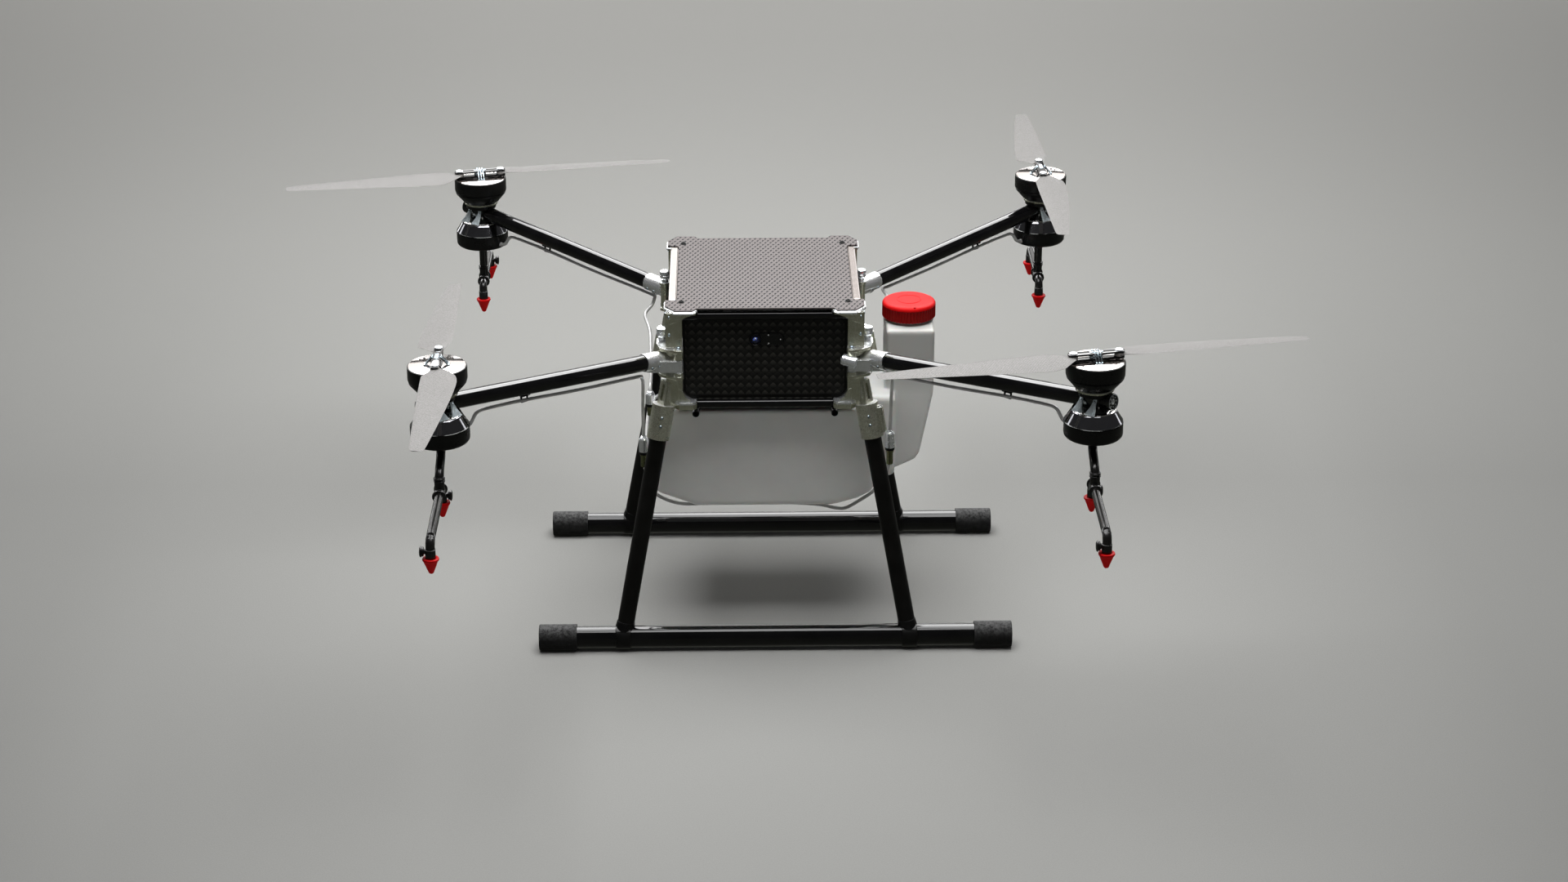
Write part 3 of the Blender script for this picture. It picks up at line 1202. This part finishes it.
def arm_plug():
    """Outer end of the tube: a dark recessed disc, and its bright rim, star and nut."""
    disc = [(0.0, 0.0012), (0.0126, 0.0012), (0.0142, 0.003), (0.0147, 0.0024), (0.015, -0.003), (0.0, -0.003)]
    rim = [(0.0126, 0.0012), (0.0126, 0.0032), (0.0134, 0.0036), (0.0141, 0.003), (0.0141, 0.0012), (0.0126, 0.0012)]
    nut = [(0.0, 0.0026), (0.004, 0.0026), (0.005, 0.0018), (0.0052, 0.0008), (0.0, 0.0008)]
    bright = [turned(rim, steps=48), turned(nut, steps=24)]
    for step in range(8):
        angle = math.tau * step / 8
        x, y = 0.0088 * math.cos(angle), 0.0088 * math.sin(angle)
        bright.append(rod((x, y, 0.0008), (x, y, 0.0022), 0.0013, sides=12))
    start, end = on_arm(0.0365), on_arm(0.2)
    return aimed(turned(disc, steps=48), start, end), aimed(gathered(bright), start, end)


def bracket_legs():
    """Four flared legs that stand on the spray housing and clamp the arm from both sides."""
    legs, bolts = [], []
    profile = ((0.0152, 0.6065, 0.0027), (0.017, 0.593, 0.003), (0.0225, 0.584, 0.0052), (0.0318, 0.5732, 0.0098))
    for side in (-1, 1):
        for along in (-0.0135, 0.0135):
            leg = bmesh.new()
            rows = []
            for out, z, half in profile:
                corners = [(along - half, out), (along + half, out), (along + half, out + 0.003),
                           (along - half, out + 0.003)]
                rows.append([leg.verts.new((x, side * y, z)) for x, y in corners])
            for upper, lower in zip(rows, rows[1:]):
                for k in range(4):
                    leg.faces.new((upper[k], upper[(k + 1) % 4], lower[(k + 1) % 4], lower[k]))
            leg.faces.new(rows[0])
            leg.faces.new(list(reversed(rows[-1])))
            bmesh.ops.recalc_face_normals(leg, faces=leg.faces)
            mesh = rounded(mesh_of(leg), 0.0005, 2, 40.0)
            mesh.transform(MOTOR_SHIFT @ ARM_TURN)
            legs.append(mesh)
            bolts.append(screw_head(on_arm(along, side * 0.019) + UP * 0.002, ARM_SIDE * side, SCREW_RADIUS))
    return gathered(legs), gathered(bolts)


def stator():
    """Motor base over the arm: a ribbed cone under the bell."""
    return turned(
        [
            (0.0, 0.65), (0.041, 0.65), (0.041, 0.6338), (0.0484, 0.6332), (0.0492, 0.6318), (0.0488, 0.63),
            (0.034, 0.6125), (0.0322, 0.6112), (0.0318, 0.608), (0.03, 0.607), (0.0292, 0.6), (0.0, 0.6),
        ],
        MOTOR_XY,
    )


def stator_ring():
    profile = [
        (0.033, 0.6122), (0.0336, 0.6108), (0.033, 0.6082), (0.03, 0.6076), (0.03, 0.6122), (0.033, 0.6122),
    ]
    return turned(profile, MOTOR_XY)


def saddle_block():
    """Body between the stator and the spray housing that the arm passes through."""
    low = rod((MOTOR.x, MOTOR.y, 0.57), (MOTOR.x, MOTOR.y, 0.58), 0.029, 0.024, sides=48)
    blocks = [low]
    for side in (-1, 1):
        cheek = box((-0.02, side * 0.0148 - 0.0015, 0.572), (0.02, side * 0.0148 + 0.0015, 0.605), bevel=0.0008)
        cheek.transform(MOTOR_SHIFT @ ARM_TURN)
        blocks.append(cheek)
    return gathered(blocks)


def housing():
    """Spray-feed housing: a bright flat deck, a polished dark slope, a thin seam and a satin round box."""
    profiles = (
        [(0.0, 0.5722), (0.0348, 0.5722), (0.0362, 0.5736), (0.0374, 0.5734), (0.0378, 0.5724), (0.0374, 0.5712),
         (0.0, 0.5712)],
        [(0.0, 0.5716), (0.0372, 0.5716), (0.0386, 0.5706), (0.04, 0.5684), (0.0502, 0.5514), (0.0, 0.5512)],
        [(0.05, 0.5519), (0.0509, 0.5511), (0.05, 0.5503), (0.049, 0.5511), (0.05, 0.5519)],
        [(0.0, 0.5505), (0.049, 0.5505), (0.0504, 0.5498), (0.0507, 0.547), (0.0507, 0.53), (0.0502, 0.5268),
         (0.0482, 0.524), (0.0455, 0.5222), (0.03, 0.5212), (0.012, 0.521), (0.0, 0.521)],
    )
    return [turned(profile, MOTOR_XY, 96) for profile in profiles]


def arm_hose():
    """The hose under its arm, from the nut on the housing to the fold joint: distances and lifts."""
    route = (
        (-0.0475, -0.0545), (-0.056, -0.052), (-0.064, -0.048), (-0.0735, -0.034), (-0.08, -0.0292),
        (-0.096, -0.0262), (-0.17, -0.0245), (-0.3, -0.0258), (-0.42, -0.024),
    )
    nut = rod(on_arm(-0.044, 0.0, -0.055), on_arm(-0.053, 0.0, -0.053), 0.0046, sides=6)
    return gathered([tube([on_arm(along, 0.0, lift) for along, lift in route], HOSE_RADIUS, 0.005), nut])


def hose_clip():
    """Square hanger under the tube that the hose runs through."""
    parts = [
        box((-0.0075, -0.0022, -0.0275), (-0.0055, 0.0022, -0.012), bevel=0.0005),
        box((0.0055, -0.0022, -0.0275), (0.0075, 0.0022, -0.012), bevel=0.0005),
        box((-0.0075, -0.0022, -0.028), (0.0075, 0.0022, -0.0262), bevel=0.0005),
        box((-0.01, -0.006, -0.016), (0.01, 0.006, -0.0135), bevel=0.0008),
    ]
    hanger = gathered(parts)
    hanger.transform(Matrix.Translation(on_arm(-0.18)) @ ARM_TURN)
    return hanger


def joint_hose(corner):
    """The hose's slack from the arm to its fixed line, bending at the fold joint."""
    sign_x, sign_y = CORNERS[corner]
    outer = [on_arm(-0.415, 0.0, -0.0242), on_arm(-0.43, 0.0, -0.024)]
    outer = [Vector((p.x * sign_x, p.y * sign_y, p.z)) for p in outer]
    line = [Vector(p) for p in FIXED_LINES[LINE_AT_JOINT[corner]]]
    route = outer + [line[-1] + (line[-1] - line[-2]).normalized() * 0.004, line[-1], line[-1].lerp(line[-2], 0.3)]
    mesh = tube(route, HOSE_RADIUS, 0.003)
    made = piece(f"hose_bend_{corner}", mesh, HOSE, body=None)
    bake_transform(made)


# ---------------------------------------------------------------- propellers
def bell():
    """Motor bell with its pale polished top disc apart."""
    cup = turned(
        [
            (0.0, 0.66), (0.0482, 0.66), (0.05, 0.659), (0.0505, 0.6575), (0.0505, 0.6365), (0.05, 0.6345),
            (0.049, 0.634), (0.045, 0.634), (0.045, 0.6545), (0.0, 0.6545),
        ],
        steps=72,
    )
    disc = turned([(0.0, 0.6608), (0.0474, 0.6608), (0.0484, 0.6602), (0.0486, 0.6594), (0.0, 0.6594)], steps=72)
    pits = []
    for angle in (38, 52, 128, 142, 218, 232, 308, 322):
        x, y = 0.039 * math.cos(math.radians(angle)), 0.039 * math.sin(math.radians(angle))
        pits.append(rod((x, y, 0.66), (x, y, 0.66095), 0.0019, sides=20))
    return cup, disc, gathered(pits)


def hub():
    """Two hub plates along X; the centre bolts and slanted studs; the capped pivot bolts."""
    plates = []
    for low_z, high_z in ((0.6616, 0.665), (0.6718, 0.675)):
        plates.append(slab(rounded_rectangle(-0.05, 0.05, -0.0075, 0.0075, 0.007), low_z, high_z, bevel=0.0006))
    plates.append(box((-0.015, -0.009, 0.66), (0.015, 0.009, 0.6622), bevel=0.0006))
    bolts = []
    for x in (-0.0085, 0.0, 0.0085):
        bolts.append(rod((x, 0, 0.66), (x, 0, 0.6755), 0.0032, sides=24, bevel=0.0004))
        bolts.append(screw_head((x, 0, 0.6748), UP, 0.004, 0.002))
    for x in (-0.0048, 0.0, 0.0048):
        for side in (-1, 1):
            bolts.append(rod((x, side * 0.019, 0.6618), (x, side * 0.0068, 0.6764), 0.0015, sides=16, bevel=0.0003))
            bolts.append(turned([(0.0, 0.6634), (0.0016, 0.6632), (0.0022, 0.661), (0.0, 0.6606)],
                                (x, side * 0.02), 16))
    caps = []
    for x in (-BLADE_PIVOT_R, BLADE_PIVOT_R):
        caps.append(rod((x, 0, 0.6606), (x, 0, 0.676), 0.0035, sides=24))
        profile = [(0.0, 0.6781), (0.0048, 0.6779), (0.0066, 0.677), (0.0072, 0.675), (0.0, 0.675)]
        caps.append(turned(profile, (x, 0), 32))
    return gathered(plates), gathered(bolts), gathered(caps)


BLADE_PLAN = (
    # radius, leading edge, trailing edge, pitch in degrees, thickness
    (0.039, -0.0074, 0.012, 0.0, 0.0046),
    (0.045, -0.008, 0.019, 0.0, 0.0046),
    (0.051, -0.0092, 0.025, 0.5, 0.0046),
    (0.057, -0.0115, 0.0305, 2.0, 0.0046),
    (0.064, -0.0145, 0.0362, 4.0, 0.0046),
    (0.072, -0.0174, 0.0388, 6.0, 0.0044),
    (0.078, -0.019, 0.0395, 7.0, 0.0043),
    (0.083, -0.0194, 0.0403, 7.2, 0.0043),
    (0.1, -0.0195, 0.04, 7.5, 0.0042),
    (0.13, -0.0191, 0.0383, 7.0, 0.0039),
    (0.16, -0.0185, 0.0362, 6.5, 0.0036),
    (0.2, -0.0176, 0.0324, 6.0, 0.0033),
    (0.24, -0.0165, 0.0282, 5.5, 0.003),
    (0.28, -0.0155, 0.0238, 5.0, 0.0027),
    (0.32, -0.0145, 0.019, 4.5, 0.0024),
    (0.36, -0.0133, 0.0141, 4.1, 0.0021),
    (0.374, -0.0122, 0.012, 4.0, 0.0019),
    (0.3795, -0.0104, 0.0092, 4.0, 0.0016),
    (PROP_RADIUS, -0.008, 0.0062, 4.0, 0.0012),
)
BLADE_DROOP = 0.003
SECTION = (
    (0.0, 0.0), (0.04, 0.26), (0.14, 0.43), (0.3, 0.52), (0.5, 0.49), (0.72, 0.34), (0.9, 0.15), (1.0, 0.03),
    (1.0, -0.03), (0.9, -0.1), (0.7, -0.26), (0.45, -0.42), (0.2, -0.4), (0.06, -0.22),
)


def blade():
    """One blade along X from the hub's centre: a twisted, tapered loft with its root eye."""
    made = bmesh.new()
    rings = []
    for radius, lead, trail, pitch, thick in BLADE_PLAN:
        sag = BLADE_DROOP * max(0.0, (radius - 0.05) / (PROP_RADIUS - 0.05)) ** 1.5
        tilt = math.radians(pitch)
        ring = []
        for along, up in SECTION:
            chord = lead + (trail - lead) * along
            z = up * thick - chord * math.sin(tilt)
            ring.append(made.verts.new((radius, chord * math.cos(tilt), BLADE_Z - sag + z)))
        rings.append(ring)
    count = len(SECTION)
    for inner, outer in zip(rings, rings[1:]):
        for k in range(count):
            made.faces.new((inner[k], inner[(k + 1) % count], outer[(k + 1) % count], outer[k]))
    made.faces.new(list(reversed(rings[0])))
    made.faces.new(rings[-1])
    bmesh.ops.recalc_face_normals(made, faces=made.faces)
    low_z, high_z = 0.6656, 0.6713
    eye = rod((BLADE_PIVOT_R, 0, low_z), (BLADE_PIVOT_R, 0, high_z), 0.0079, sides=40, bevel=0.0004)
    shank = box((BLADE_PIVOT_R, -0.006, low_z), (0.049, 0.006, high_z), bevel=0.0012)
    return gathered([mesh_of(made), eye, shank])


def rotor_parts():
    """The pieces that spin, for a motor at the origin: name, mesh, finish, slot."""
    cup, disc, pits = bell()
    plates, bolts, caps = hub()
    return (
        ("bell", cup, SATIN, "gloss_black_tube"),
        ("bell_disc", disc, PALE, None),
        ("bell_pits", pits, HOLE, None),
        ("hub_plates", plates, GLOSS, None),
        ("hub_bolts", bolts, STEEL, None),
        ("pivot_caps", caps, BRIGHT, None),
    )


def propeller(corner, motor, parts, one_blade):
    """A corner's rotor and its two blades, turned to where the frame's first blade points."""
    first = JOINT[f"blade_fold_{corner}_a"]["pos_m"]
    angle = math.atan2(first[1] - motor.y, first[0] - motor.x)
    for name, mesh, finish, slot in parts:
        copy = mesh.copy()
        copy.transform(Matrix.Translation(motor) @ Matrix.Rotation(angle, 4, "Z"))
        stands_for = (f"rotor_{corner}",) if name == "bell" else ()
        piece(f"{name}_{corner}", copy, finish, f"rotor_unit_{corner}", stands_for, slot)
    for letter, turn in (("a", 0.0), ("b", math.pi)):
        name = f"blade_{corner}_{letter}"
        made = piece(f"{name}_skin", one_blade, BLADE, None, (name,))
        made.matrix_world = Matrix.Translation(motor) @ Matrix.Rotation(angle + turn, 4, "Z")
        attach(made, f"blade_unit_{corner}_{letter}")


# ---------------------------------------------------------------- spray booms
def boom(y, ends, knobs):
    """Drop pipe to a tee at y, level bar, elbows and side knobs, for a motor at the origin, reaching towards +Y."""
    inner, outer = ends
    bend = [(0, 0.002, 0.5035), (0, 0.011, 0.495), (0, y - 0.024, 0.4885), (0, y - 0.01, 0.4825),
            (0, y - 0.0015, 0.474)]
    drop = [(0, 0, 0.5215), (0, 0, 0.512)] + (bend if y else []) + [(0, y, 0.465), (0, y, 0.456)]
    elbow = ((0.0, 0.416), (0.0, 0.433), (0.0025, 0.442), (0.01, BOOM_Z - 0.0005), (0.02, BOOM_Z))
    bar = [(0, inner + run, z) for run, z in elbow] + [(0, y + 0.04, BOOM_Z)]
    bar += [(0, outer - run, z) for run, z in reversed(elbow)]
    rods = (
        # start, end, radius, bevel: socket, two tee rings, tee, its sleeve and the sleeve's two rims
        ((0, 0, 0.515), (0, 0, 0.5215), 0.0102, 0.0008),
        ((0, y, 0.4735), (0, y, 0.4765), 0.01, 0.0009),
        ((0, y, 0.469), (0, y, 0.4718), 0.01, 0.0009),
        ((0, y, 0.47), (0, y, 0.454), 0.0086, 0.0),
        ((0, y - 0.0165, BOOM_Z), (0, y + 0.0165, BOOM_Z), 0.01, 0.0008),
        ((0, y + 0.014, BOOM_Z), (0, y + 0.0185, BOOM_Z), 0.0118, 0.0012),
        ((0, y - 0.014, BOOM_Z), (0, y - 0.0185, BOOM_Z), 0.0118, 0.0012),
        *(((0, end, 0.434), (0, end, 0.4165), 0.0086, 0.0006) for end in ends),
    )
    pieces = [tube(route, BOOM_RADIUS, 0.003) for route in (drop, bar)]
    pieces += [rod(start, end, radius, sides=40, bevel=bevel) for start, end, radius, bevel in rods]
    knob_profile = [
        (0.0, 0.018), (0.006, 0.018), (0.0086, 0.0172), (0.0094, 0.0158), (0.009, 0.0146), (0.0076, 0.014),
        (0.0074, 0.0132), (0.0084, 0.0126), (0.008, 0.0112), (0.0046, 0.0104), (0.004, 0.006), (0.0, 0.006),
    ]
    for end, side in knobs:
        pieces.append(aimed(turned(knob_profile, steps=36), (0, end, 0.43), (side, end, 0.43)))
    return gathered(pieces)


def nozzles(ends):
    """Red cone caps: a rolled rim, a steep cone and a blunt tip."""
    profile = [
        (0.0, 0.4178), (0.0088, 0.4178), (0.0096, 0.4188), (0.0122, 0.4188), (0.0136, 0.418), (0.0141, 0.4164),
        (0.0137, 0.4148), (0.0124, 0.4134), (0.0118, 0.412), (0.005, 0.394), (0.004, 0.3918), (0.0026, 0.3908),
        (0.0, 0.3905),
    ]
    return gathered([turned(profile, (0, end), 40) for end in ends])


def arms():
    legs, bolts = bracket_legs()
    plug, plug_rim = arm_plug()
    deck, slope, seam, box_shell = housing()
    parts = (
        # name, mesh, finish, CAD node that it stands for, slot when it isn't the finish's usual one
        ("arm_sleeve", knuckle(), METAL_LIGHT, "arm_knuckle", None),
        ("arm_screws", knuckle_screws(), STEEL, None, None),
        ("arm_pipe", rod(on_arm(-0.4775), on_arm(0.0365), TUBE_RADIUS, sides=96), GLOSS, "arm_tube", None),
        ("arm_plug", plug, DARK_METAL, None, None),
        ("arm_plug_rim", plug_rim, BRIGHT, None, None),
        ("bracket_legs", legs, PALE_BLUE, None, None),
        ("bracket_bolts", bolts, STEEL, None, None),
        ("stator", stator(), SATIN, "motor_mount", "gloss_black_tube"),
        ("saddle_block", saddle_block(), DARK_METAL, None, "gloss_black_tube"),
        ("stator_ring", stator_ring(), METAL, None, None),
        ("housing_deck", deck, MIRROR, None, None),
        ("housing_slope", slope, DARK_MIRROR, None, None),
        ("housing_box", box_shell, SATIN, None, "gloss_black_tube"),
        ("housing_seam", seam, DARK_METAL, None, "gloss_black_tube"),
        ("feed_hose", arm_hose(), HOSE, "arm_hose", None),
        ("hose_clip", hose_clip(), SATIN, None, None),
    )
    booms = {
        -1: (boom(FRONT_BOOM_Y, FRONT_NOZZLES, zip(FRONT_NOZZLES, (-1, 1))), nozzles(FRONT_NOZZLES)),
        1: (boom(REAR_BOOM_Y, REAR_NOZZLES, [(REAR_NOZZLES[1], 1)]), nozzles(REAR_NOZZLES)),
    }
    rotor, one_blade = rotor_parts(), blade()
    for corner, (sign_x, sign_y) in CORNERS.items():
        body = f"arm_{corner}"
        for name, mesh, finish, node, slot in parts:
            corner_piece(corner, name, mesh, finish, body, node, slot)
        motor = Vector((MOTOR.x * sign_x, MOTOR.y * sign_y, 0.0))
        hang = Matrix.Translation(motor) @ Matrix.Rotation(0.0 if sign_y > 0 else math.pi, 4, "Z")
        pipes, cones = [mesh.copy() for mesh in booms[sign_y]]
        for mesh in (pipes, cones):
            mesh.transform(hang)
        piece(f"boom_pipes_{corner}", pipes, BOOM, body, (f"spray_boom_{corner}",))
        piece(f"nozzle_caps_{corner}", cones, RED, body)
        propeller(corner, motor, rotor, one_blade)
        joint_hose(corner)
    piece("arm_peg_front_right", mirrored(arm_peg(), 1, -1), BRIGHT, "arm_front_right")


# ---------------------------------------------------------------- studio
def area_light(name, place, target, size_x, size_y, power, colour, only_reflections):
    lamp = bpy.data.lights.new(name, "AREA")
    lamp.shape = "RECTANGLE"
    lamp.size, lamp.size_y = size_x, size_y
    lamp.energy = power
    lamp.color = colour
    made = bpy.data.objects.new(name, lamp)
    made.location = place
    made.rotation_euler = (Vector(target) - Vector(place)).to_track_quat("-Z", "Y").to_euler()
    if only_reflections:
        made.visible_diffuse = False
        made.visible_transmission = False
    bpy.context.scene.collection.objects.link(made)


def surroundings():
    """A dim world, a little lighter below the horizon, where only reflections see it."""
    world = bpy.data.worlds.new("studio")
    world.use_nodes = True
    nodes, links = world.node_tree.nodes, world.node_tree.links
    place = nodes.new("ShaderNodeTexCoord")
    axes = nodes.new("ShaderNodeSeparateXYZ")
    links.new(place.outputs["Generated"], axes.inputs[0])
    height = nodes.new("ShaderNodeMapRange")
    height.inputs["From Min"].default_value = -0.12
    height.inputs["From Max"].default_value = 0.1
    links.new(axes.outputs["Z"], height.inputs["Value"])
    blend = nodes.new("ShaderNodeMix")
    blend.data_type = "RGBA"
    blend.inputs["A"].default_value = (0.085, 0.087, 0.075, 1.0)
    blend.inputs["B"].default_value = (0.05, 0.05, 0.05, 1.0)
    links.new(height.outputs["Result"], blend.inputs["Factor"])
    links.new(blend.outputs["Result"], nodes["Background"].inputs["Color"])
    bpy.context.scene.world = world


def studio():
    scene = bpy.context.scene
    scene.view_settings.view_transform = "Standard"
    floor = bpy.data.objects.new("studio_floor", box((-40, -40, -0.02), (40, 40, 0.0)))
    floor.data.materials.append(FLOOR)
    floor.visible_glossy = False
    scene.collection.objects.link(floor)
    surroundings()
    white = (1.0, 1.0, 1.0)
    lights = (
        # name, place, target, width, height, watts, colour, seen by reflections only
        ("overhead", (0.0, 0.1, 3.0), (0.0, 0.1, 0.0), 2.7, 2.7, 142.0, white, False),
        ("back_panel", (0.0, 8.0, 4.6), (0.0, 0.0, 0.6), 10.0, 4.6, 185.0, (1.0, 0.98, 0.96), False),
        ("back_strip", (0.0, 9.0, 0.65), (0.0, 0.0, 0.6), 16.0, 1.1, 170.0, white, False),
        ("high_panel", (0.0, 5.35, 6.5), (0.0, 0.0, 0.6), 14.0, 5.0, 2200.0, white, True),
        ("side_strip", (-8.0, 4.5, 1.9), (0.0, 0.0, 0.6), 1.4, 3.2, 32.0, white, False),
        ("side_strip", (8.0, 4.5, 1.9), (0.0, 0.0, 0.6), 1.4, 3.2, 32.0, white, False),
    )
    for light in lights:
        area_light(*light)


CAMERA_PLACE = (-0.053, -5.381, 2.593)
CAMERA_LENS, CAMERA_SENSOR = 71.66, 36.0
CAMERA_PITCH, CAMERA_PAN, CAMERA_ROLL = math.radians(66.95), math.radians(-0.957), math.radians(-0.06)


def camera():
    lens = bpy.data.cameras.new("camera")
    lens.sensor_width = CAMERA_SENSOR
    lens.lens = CAMERA_LENS
    lens.clip_end = 200.0
    made = bpy.data.objects.new("camera", lens)
    made.location = CAMERA_PLACE
    turn = Matrix.Rotation(CAMERA_PAN, 4, "Z") @ Matrix.Rotation(CAMERA_PITCH, 4, "X")
    made.rotation_euler = (turn @ Matrix.Rotation(CAMERA_ROLL, 4, "Z")).to_euler()
    bpy.context.scene.collection.objects.link(made)
    bpy.context.scene.camera = made


lid()
rails()
floor_and_walls()
camera_window()
corners()
tank()
pump()
plumbing()
landing_gear()
arms()
studio()
camera()
